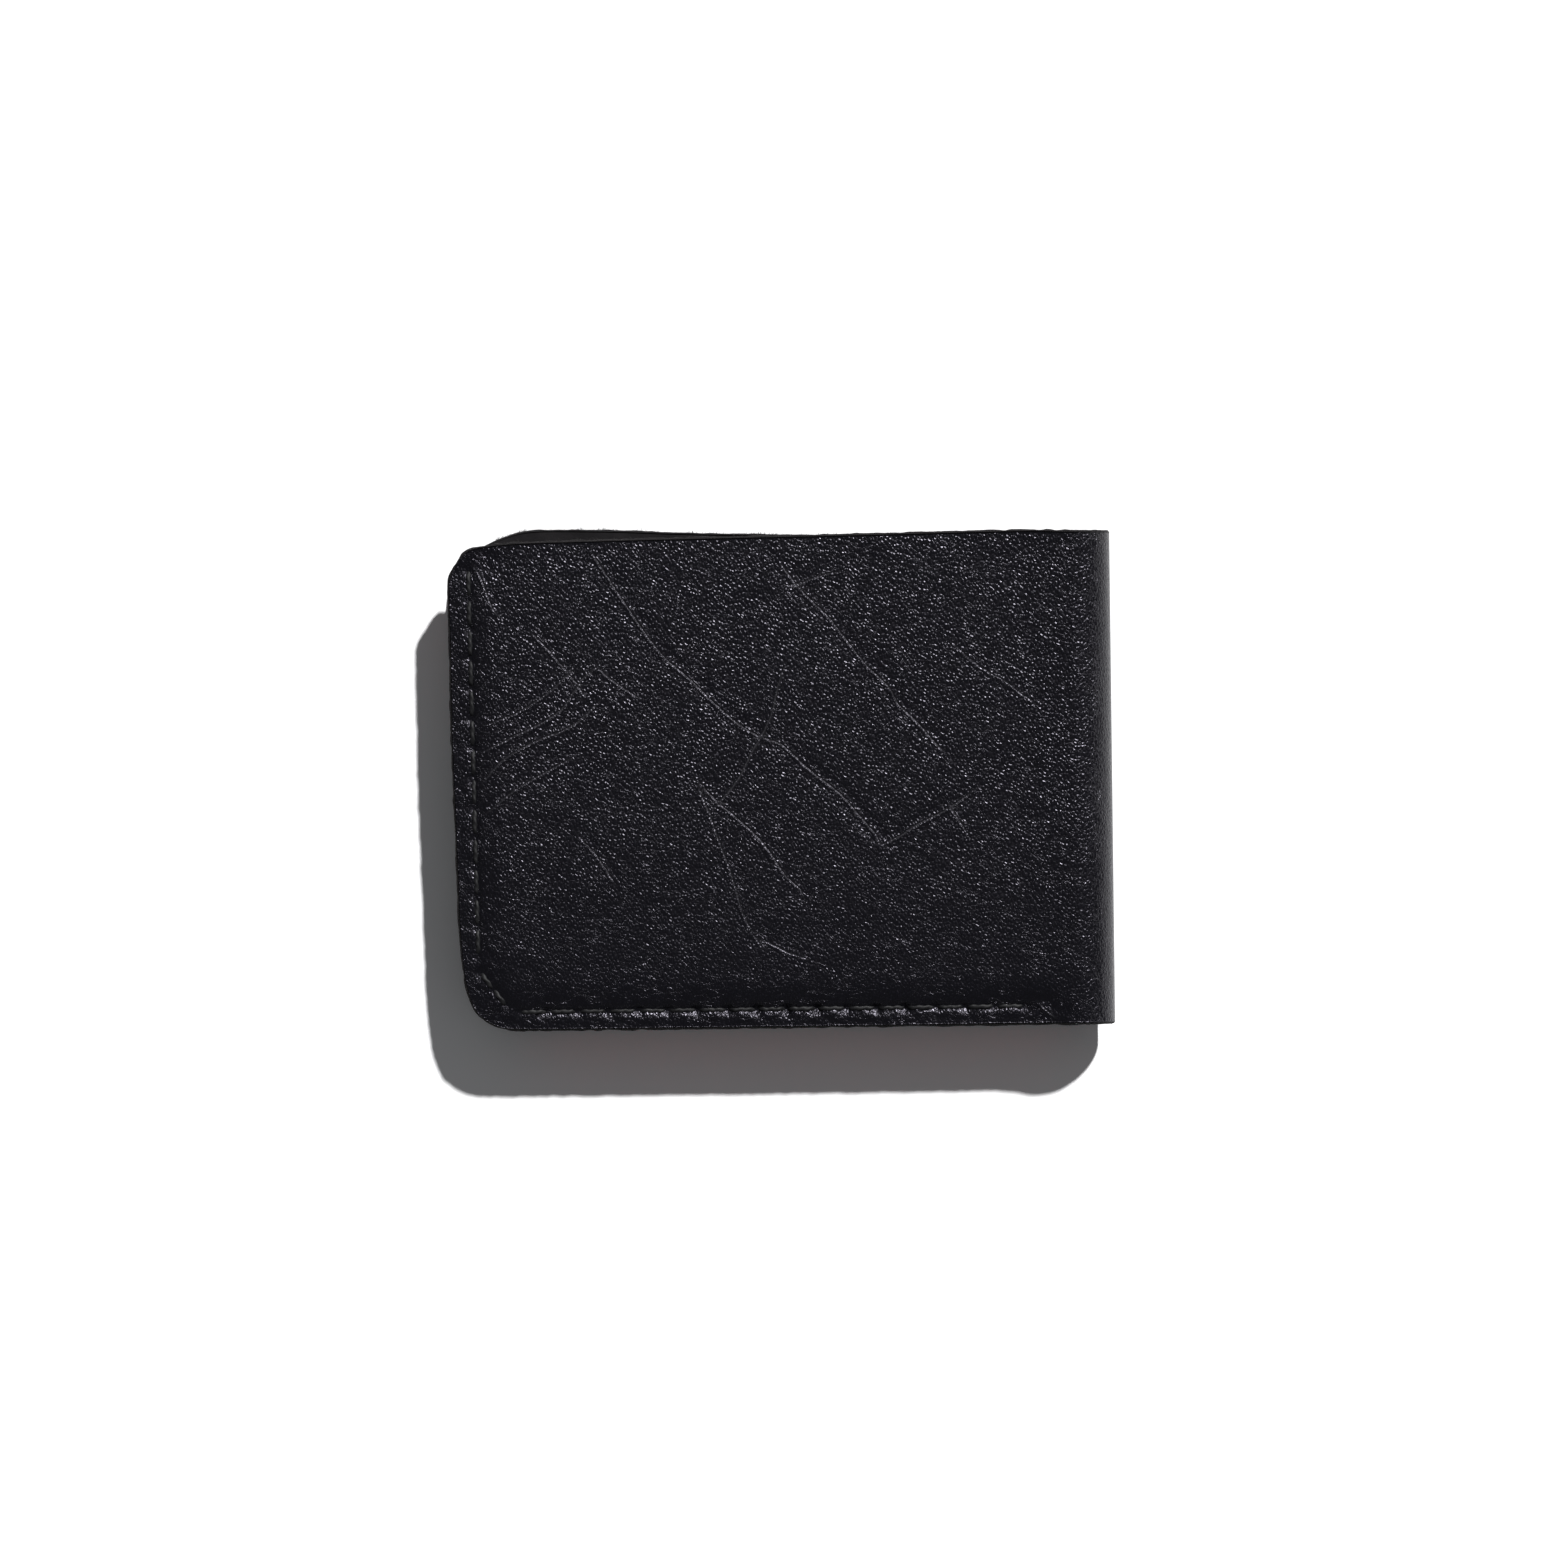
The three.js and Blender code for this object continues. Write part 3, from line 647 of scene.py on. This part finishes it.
def leather(name, dark, light, rough, grain_mm, depth, rot=0.0, squash=1.0, spec=0.5, fine=0.35, crease=1.0, sheen=(1.0, 1.0, 1.0)):
    m, nt, b = nodes_of(name)
    L = nt.links.new
    base = coords(nt, (1, 1, 1))
    warp = add(nt, "ShaderNodeTexNoise", Scale=0.9, Detail=2.0)
    L(base, warp.inputs["Vector"])
    wv = nt.nodes.new("ShaderNodeVectorMath"); wv.operation = "MULTIPLY_ADD"
    L(warp.outputs["Color"], wv.inputs[0]); wv.inputs[1].default_value = (0.55, 0.55, 0.55); L(base, wv.inputs[2])
    mp = nt.nodes.new("ShaderNodeMapping")
    mp.inputs["Rotation"].default_value = (0, 0, rot)
    mp.inputs["Scale"].default_value = (1 / grain_mm, squash / grain_mm, 0.6 / grain_mm)
    L(wv.outputs[0], mp.inputs["Vector"])
    cell = nt.nodes.new("ShaderNodeTexVoronoi")
    cell.feature = "DISTANCE_TO_EDGE"
    cell.inputs["Scale"].default_value = 1.0
    L(mp.outputs[0], cell.inputs["Vector"])
    pebble = rng(nt, cell.outputs["Distance"], 0.0, 0.34, 0.0, 1.0)
    tone = nt.nodes.new("ShaderNodeTexVoronoi")
    tone.feature = "F1"
    tone.inputs["Scale"].default_value = 1.0
    L(mp.outputs[0], tone.inputs["Vector"])
    cellh = rng(nt, tone.outputs["Distance"], 0.0, 0.9, 1.0, 0.0, "LINEAR")
    tiny = add(nt, "ShaderNodeTexNoise", Scale=5.5, Detail=4.0, Roughness=0.65)
    L(base, tiny.inputs["Vector"])
    broad = add(nt, "ShaderNodeTexNoise", Scale=0.10, Detail=2.0)
    L(base, broad.inputs["Vector"])
    amount = rng(nt, broad.outputs["Fac"], 0.3, 0.7, 0.92, 1.06)
    by = nt.nodes.new("ShaderNodeSeparateXYZ")
    L(base, by.inputs[0])
    amount = mathn(nt, "MULTIPLY", amount, rng(nt, by.outputs[1], -38.0, 12.0, 0.74, 1.02))   # smoother towards the foot
    # fine creases that branch over the hide
    veins = nt.nodes.new("ShaderNodeTexVoronoi")
    veins.feature = "DISTANCE_TO_EDGE"
    vm = nt.nodes.new("ShaderNodeMapping")
    vm.inputs["Rotation"].default_value = (0, 0, rot)
    vm.inputs["Scale"].default_value = (0.085, 0.17, 0.1)
    vw = nt.nodes.new("ShaderNodeVectorMath"); vw.operation = "MULTIPLY_ADD"
    vn = add(nt, "ShaderNodeTexNoise", Scale=0.22, Detail=3.0)
    L(base, vn.inputs["Vector"])
    L(vn.outputs["Color"], vw.inputs[0]); vw.inputs[1].default_value = (7, 7, 2); L(base, vw.inputs[2])
    L(vw.outputs[0], vm.inputs["Vector"]); L(vm.outputs[0], veins.inputs["Vector"])
    line = rng(nt, veins.outputs["Distance"], 0.0, 0.045, 1.0, 0.0)
    mask = rng(nt, vn.outputs["Fac"], 0.45, 0.62, 0.0, 1.0)
    line = mathn(nt, "MULTIPLY", line, mask)
    clump = nt.nodes.new("ShaderNodeTexVoronoi")
    clump.feature = "SMOOTH_F1"
    clump.inputs["Scale"].default_value = 0.42
    clump.inputs["Smoothness"].default_value = 0.35
    L(mp.outputs[0], clump.inputs["Vector"])
    h = mathn(nt, "MULTIPLY", pebble, 0.75)
    h = mathn(nt, "ADD", h, mathn(nt, "MULTIPLY", cellh, 0.45))
    h = mathn(nt, "SUBTRACT", h, mathn(nt, "MULTIPLY", clump.outputs["Distance"], 0.25))
    fa = nt.nodes.new("ShaderNodeAttribute")
    fa.attribute_name = "fold"
    fs = nt.nodes.new("ShaderNodeSeparateXYZ")
    L(fa.outputs["Vector"], fs.inputs[0])
    jog = add(nt, "ShaderNodeTexNoise", Scale=1.1, Detail=2.0)
    L(base, jog.inputs["Vector"])
    fd = mathn(nt, "ADD", fs.outputs[0], mathn(nt, "MULTIPLY", mathn(nt, "SUBTRACT", jog.outputs["Fac"], 0.5), 0.35))
    fl = rng(nt, mathn(nt, "ABSOLUTE", fd, 0.0), 0.0, 0.26, 1.0, 0.0)
    fstr = rng(nt, fs.outputs[1], 0.0, 0.06, 0.0, 1.0, "LINEAR")
    fl = mathn(nt, "MULTIPLY", fl, fstr)
    h = mathn(nt, "MULTIPLY", h, amount)
    h = mathn(nt, "ADD", h, mathn(nt, "MULTIPLY", tiny.outputs["Fac"], fine))
    h = mathn(nt, "SUBTRACT", h, mathn(nt, "MULTIPLY", line, 0.9 * crease))
    h = mathn(nt, "SUBTRACT", h, mathn(nt, "MULTIPLY", fl, 1.9))
    bump = nt.nodes.new("ShaderNodeBump")
    bump.inputs["Strength"].default_value = 1.0
    bump.inputs["Distance"].default_value = depth * 0.001
    L(h, bump.inputs["Height"])
    L(bump.outputs[0], b.inputs["Normal"])
    mix = nt.nodes.new("ShaderNodeMix"); mix.data_type = "RGBA"
    mix.inputs["A"].default_value = (*dark, 1); mix.inputs["B"].default_value = (*light, 1)
    # painted shade: the base colour is darker in the grain's valleys (towards the cell edges), and the broad noise
    # varies the tone at random
    valley_shade_and_tone = mathn(nt, "MULTIPLY", pebble, rng(nt, broad.outputs["Fac"], 0.3, 0.7, 0.75, 1.0), clamp=True)
    L(valley_shade_and_tone, mix.inputs["Factor"])
    # the base colour is made lighter along the wrinkle lines
    crease_lighter = nt.nodes.new("ShaderNodeMix"); crease_lighter.data_type = "RGBA"
    crease_lighter.inputs["B"].default_value = (0.035, 0.034, 0.038, 1)
    L(mix.outputs["Result"], crease_lighter.inputs["A"])
    L(mathn(nt, "MULTIPLY", fl, 0.6), crease_lighter.inputs["Factor"])
    L(crease_lighter.outputs["Result"], b.inputs["Base Color"])
    r = rng(nt, tiny.outputs["Fac"], 0.3, 0.7, rough - 0.07, rough + 0.09, "LINEAR")
    r = mathn(nt, "SUBTRACT", r, mathn(nt, "MULTIPLY", pebble, 0.05))
    L(r, b.inputs["Roughness"])
    b.inputs["Specular IOR Level"].default_value = spec
    b.inputs["Specular Tint"].default_value = (*sheen, 1)
    return m


def raw(name, dark, light, rough, scale, depth, stretch=(1, 1, 1), free_side=None, spec=0.35):
    """Flesh side, raw edges and thread: fibrous."""
    m, nt, b = nodes_of(name)
    L = nt.links.new
    base = coords(nt, stretch)
    n1 = add(nt, "ShaderNodeTexNoise", Scale=scale, Detail=5.0, Roughness=0.7)
    n2 = add(nt, "ShaderNodeTexNoise", Scale=scale * 0.12, Detail=2.0)
    L(base, n1.inputs["Vector"]); L(base, n2.inputs["Vector"])
    mix = nt.nodes.new("ShaderNodeMix"); mix.data_type = "RGBA"
    mix.inputs["A"].default_value = (*dark, 1); mix.inputs["B"].default_value = (*light, 1)
    f = mathn(nt, "MULTIPLY", n1.outputs["Fac"], rng(nt, n2.outputs["Fac"], 0.3, 0.7, 0.5, 1.3), clamp=True)
    L(f, mix.inputs["Factor"])
    if free_side is None:
        L(mix.outputs["Result"], b.inputs["Base Color"])
    else:     # the free side's edges are dyed black, the foot's are left red
        at = nt.nodes.new("ShaderNodeAttribute")
        at.attribute_name = "pat"
        sx = nt.nodes.new("ShaderNodeSeparateXYZ")
        L(at.outputs["Vector"], sx.inputs[0])
        dye = nt.nodes.new("ShaderNodeMix"); dye.data_type = "RGBA"
        dye.inputs["A"].default_value = (*free_side, 1)
        L(rng(nt, mathn(nt, "ABSOLUTE", sx.outputs[0], 0.0), 97.5, 100.5, 1.0, 0.0), dye.inputs["Factor"])
        L(mix.outputs["Result"], dye.inputs["B"])
        L(dye.outputs["Result"], b.inputs["Base Color"])
    bump = nt.nodes.new("ShaderNodeBump")
    bump.inputs["Strength"].default_value = 1.0
    bump.inputs["Distance"].default_value = depth * 0.001
    L(n1.outputs["Fac"], bump.inputs["Height"]); L(bump.outputs[0], b.inputs["Normal"])
    L(rng(nt, n1.outputs["Fac"], 0.3, 0.7, rough - 0.08, rough + 0.1, "LINEAR"), b.inputs["Roughness"])
    b.inputs["Specular IOR Level"].default_value = spec
    return m


GRAIN = leather("black_pebbled_leather", (0.0008, 0.0008, 0.0014), (0.0022, 0.0021, 0.0034), 0.29, 0.48, 0.075, rot=math.radians(42), squash=0.66, spec=0.34, fine=0.34, sheen=(0.90, 0.86, 1.0))
FLESH = raw("cover_flesh_side", (0.004, 0.0038, 0.0045), (0.013, 0.0120, 0.0130), 0.85, 3.0, 0.10, spec=0.12)
RAW_EDGE = raw("cover_raw_edge", (0.003, 0.003, 0.0035), (0.012, 0.010, 0.011), 0.75, 3.5, 0.12, (1, 1, 3), spec=0.14)
LINING = leather("red_lining_leather", (0.150, 0.0100, 0.0120), (0.265, 0.0210, 0.0230), 0.42, 0.45, 0.07, rot=0.3, squash=0.9, fine=0.25, crease=0.35)
LINING_EDGE = raw("lining_raw_edge", (0.150, 0.013, 0.014), (0.330, 0.040, 0.038), 0.7, 4.0, 0.08, (1, 1, 3), free_side=(0.012, 0.009, 0.010))
THREAD = raw("waxed_black_thread", (0.003, 0.003, 0.0035), (0.010, 0.010, 0.011), 0.50, 9.0, 0.04, (2.5, 0.8, 1), spec=0.22)
FUZZ = raw("leather_fibre", (0.010, 0.009, 0.009), (0.030, 0.027, 0.027), 0.8, 6.0, 0.02)

# ---------------------------------------------------------------- pieces
for half in ("back", "front"):
    # the hide: this half's cover and its share of the bend, to the middle of the spine
    xy = cover_grid(half)
    x, y = xy[..., 0].ravel(), xy[..., 1].ravel()
    w0 = relief(half, x, y)
    w1 = squeeze(half, x, y, COVER + 0.04 * vnoise(x, y, 0.25, 91))
    v, f, fm, pat = slab(half, xy, w0, w1, None, bulge=0.28, rows=7, cut_side="right", seed=5 if half == "back" else 9)
    fold = np.zeros((len(v), 3))
    fold[:len(x)] = fold_field(half, x, y)
    hide = mesh_object("cover_hide_" + half, v, f, [GRAIN, FLESH, RAW_EDGE], fm, pat, fold)

    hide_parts("cover_" + half, *(["spine"] if half == "front" else []))
    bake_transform(hide)

    # liner, with a turned rim along its sewn edges
    seed = 50 if half == "back" else 60
    g, lo, hi = panel(half, LINER_TOP, *W_LINER, seed, 1.55)
    liner = joined("liner_leather_" + half, [slab(half, g, lo, hi, None, bulge=0.24, rows=6, seed=seed)], [LINING, LINING, LINING_EDGE])
    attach(liner, half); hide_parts("liner_" + half)

    # T-shaped slot piece: arms, stem and its turned foot
    made = []
    g, lo, hi = arms(half)
    made.append(slab(half, g, lo, hi, None, bulge=0.24, rows=6, seed=seed + 3))
    g, lo, hi = rect(half, STEM[0], STEM[1], SLOT_FOOT, SLOT_ARM - 0.45, *W_SLOT, step=1.4)
    made.append(slab(half, g, lo, hi, None, bulge=0.15, rows=4, seed=seed + 4))
    g, lo, hi = rect(half, STEM[0], STEM[1], SLOT_FOOT, SLOT_FOOT + 3.2, 3.24, 4.12, step=1.2)
    made.append(slab(half, g, lo, hi, None, bulge=0.1, rows=4, seed=seed + 5))
    slot_piece = joined("slot_leather_" + half, made, [LINING, LINING, LINING_EDGE])
    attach(slot_piece, half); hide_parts("card_slot_" + half)

    # lower pocket with a turned rim, on the ply that fills its seams
    made = []
    g, lo, hi = panel(half, POCKET_TOP, *W_POCKET, seed + 8, 4.94, fold_side=True, shrink=0.12)
    made.append(slab(half, g, lo, hi, None, bulge=0.26, rows=6, seed=seed + 8))
    g, lo, hi = strip_along(half, SLOT_ARM - 0.4, 3.25, 4.88, seed + 10, shrink=0.45)
    made.append(slab(half, g, lo, hi, None, bulge=0.24, rows=6, seed=seed + 10))
    g, lo, hi = rect(half, 41.7, PANEL_END - 0.4, FOOT_Y + 5.6, SLOT_ARM - 0.4, 3.25, 4.88)
    made.append(slab(half, g, lo, hi, None, bulge=0.24, rows=6, seed=seed + 13))
    pocket = joined("pocket_leather_" + half, made, [LINING, LINING, LINING_EDGE])
    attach(pocket, half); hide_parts("lower_pocket_" + half)

    # thread
    def face(yv):
        return W_POCKET[1] if yv < POCKET_TOP else W_SLOT[1] if yv < SLOT_TOP else W_LINER[1]

    for row, node in (("side", "side_stitching_"), ("corner", "corner_stitching_"), ("foot", "foot_stitching_"),
                      ("inner", "spine_side_stitching_"), ("hem", "slot_hem_stitching_")):
        q = row_points(row)
        paths = []
        if row in ("side", "corner", "foot"):
            paths += [outer_path(half, a, b) for a, b in zip(q, q[1:])]
        r = 0.36 if row in ("side", "corner", "foot") else 0.26
        for a, b in zip(q, q[1:]):
            if row == "hem":
                paths.append(inner_path(half, a, b, W_SLOT[1], W_SLOT[1], None))
                continue
            fa, fb = face(a[1]), face(b[1])
            drop = None
            if fa != fb:
                lip = POCKET_TOP if fa == W_POCKET[1] else SLOT_TOP
                drop = float(np.clip((lip - a[1]) / (b[1] - a[1]), 0.1, 0.9))
            paths.append(inner_path(half, a, b, fa, fb, drop))
        v, f, pat = stitch_tubes(half, paths, r)
        v = np.array(v, float)
        deep = v[:, 2] * 1000 if half == "back" else 13.5 - v[:, 2] * 1000
        deep = np.where(deep > 6.0, 6.0 + (deep - 6.0) * 0.655, deep)   # the closed wallet presses its inner stitches flat
        v[:, 2] = (deep if half == "back" else 13.5 - deep) * 0.001
        th = mesh_object("thread_" + row + "_" + half, v, f, [THREAD], None, pat)
        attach(th, half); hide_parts(node + half)

    # loose fibres on the raw mouth edge
    TUFTS = (-46.5, -45.2, -43.0, -33.3, -29.7, -27.5, -14.7, -3.5, -0.7)
    rs = np.random.RandomState(5 if half == "back" else 6)
    c = dense(MOUTH[half], 0.1)
    vs, fs, n = [], [], 0
    for _ in range(330 if half == "back" else 90):
        x = rs.uniform(-47, 28)
        if rs.rand() < 0.5:
            x = rs.normal(TUFTS[rs.randint(len(TUFTS))], 0.35)
        yv = np.interp(x, c[:, 0], c[:, 1]) - 0.15
        w = rs.uniform(0.35, 1.4)
        length = rs.uniform(0.25, 0.75) * (1.5 if rs.rand() < 0.08 else 1)
        d = np.array([rs.normal(0, 0.6), 1.0, rs.normal(0, 0.45)]); d /= np.linalg.norm(d)
        curl = np.array([rs.normal(0, 0.6), -0.2, rs.normal(0, 0.4)])
        rad = rs.uniform(0.03, 0.065)
        t = np.linspace(0, 1, 5)[:, None]
        pts = np.array([x, yv, w]) + d * t * length + curl * t ** 2 * length * 0.5
        for k in range(5):
            rr = rad * (1 - 0.75 * k / 4)
            for j in range(3):
                a = 2 * math.pi * j / 3
                vs.append(pts[k] + np.array([rr * math.cos(a), 0, rr * math.sin(a)]))
        for k in range(4):
            for j in range(3):
                a, b = n + k * 3 + j, n + k * 3 + (j + 1) % 3
                fs.append((a, b, b + 3, a + 3))
        fs.append((n + 2, n + 1, n)); fs.append((n + 12, n + 13, n + 14))
        n += 15
    vs = np.array(vs)
    vs[:, 2] = np.maximum(vs[:, 2], 0.08)     # none reaches below the face it rests on
    fz = mesh_object("mouth_fibres_" + half, place(half, vs[:, 0], vs[:, 1], vs[:, 2]), fs, [FUZZ], None, vs)
    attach(fz, half)

# ---------------------------------------------------------------- floor, light, camera
bpy.ops.mesh.primitive_plane_add(size=4.0, location=(0, 0, 0))
floor = bpy.context.object
floor.name = "floor"
fm, nt, b = nodes_of("pale_floor")
b.inputs["Base Color"].default_value = (0.86, 0.86, 0.865, 1)
b.inputs["Roughness"].default_value = 0.9
b.inputs["Specular IOR Level"].default_value = 0.1
floor.data.materials.append(fm)


def light_dir(az_from_y, elev):
    a, e = math.radians(az_from_y), math.radians(elev)
    return Vector((math.sin(a) * math.cos(e), math.cos(a) * math.cos(e), math.sin(e)))


sun = bpy.data.lights.new("key", "SUN")
sun.energy = 6.1
sun.angle = math.radians(2.4)
key = bpy.data.objects.new("key", sun)
key.rotation_mode = "QUATERNION"
key.rotation_quaternion = light_dir(28, 43).to_track_quat("Z", "Y")
scene.collection.objects.link(key)

soft = bpy.data.lights.new("soft_fill", "AREA")
soft.shape = "RECTANGLE"
soft.size, soft.size_y = 1.2, 1.2
soft.energy = 0.25
fill = bpy.data.objects.new("soft_fill", soft)
fill.location = Vector((-0.55, -0.95, 0.75))
fill.rotation_mode = "QUATERNION"
fill.rotation_quaternion = fill.location.to_track_quat("Z", "Y")
scene.collection.objects.link(fill)

world = bpy.data.worlds.new("studio")
world.use_nodes = True
world.node_tree.nodes["Background"].inputs[0].default_value = (0.96, 0.975, 1.0, 1)
world.node_tree.nodes["Background"].inputs[1].default_value = 0.150
scene.world = world
scene.view_settings.view_transform = "Standard"

cam_data = bpy.data.cameras.new("camera")
cam_data.lens = 200
cam_data.sensor_width = 36
cam_data.clip_start, cam_data.clip_end = 0.05, 10
cam = bpy.data.objects.new("camera", cam_data)
ROLL = math.radians(-0.7)
HEIGHT = 1.4400
off = Vector((-1.03, 0.38, 0)) * 0.001
off.rotate(Euler((0, 0, ROLL)))
cam.location = Vector((off.x, off.y, HEIGHT))
cam.rotation_euler = (0, 0, ROLL)
scene.collection.objects.link(cam)
scene.camera = cam
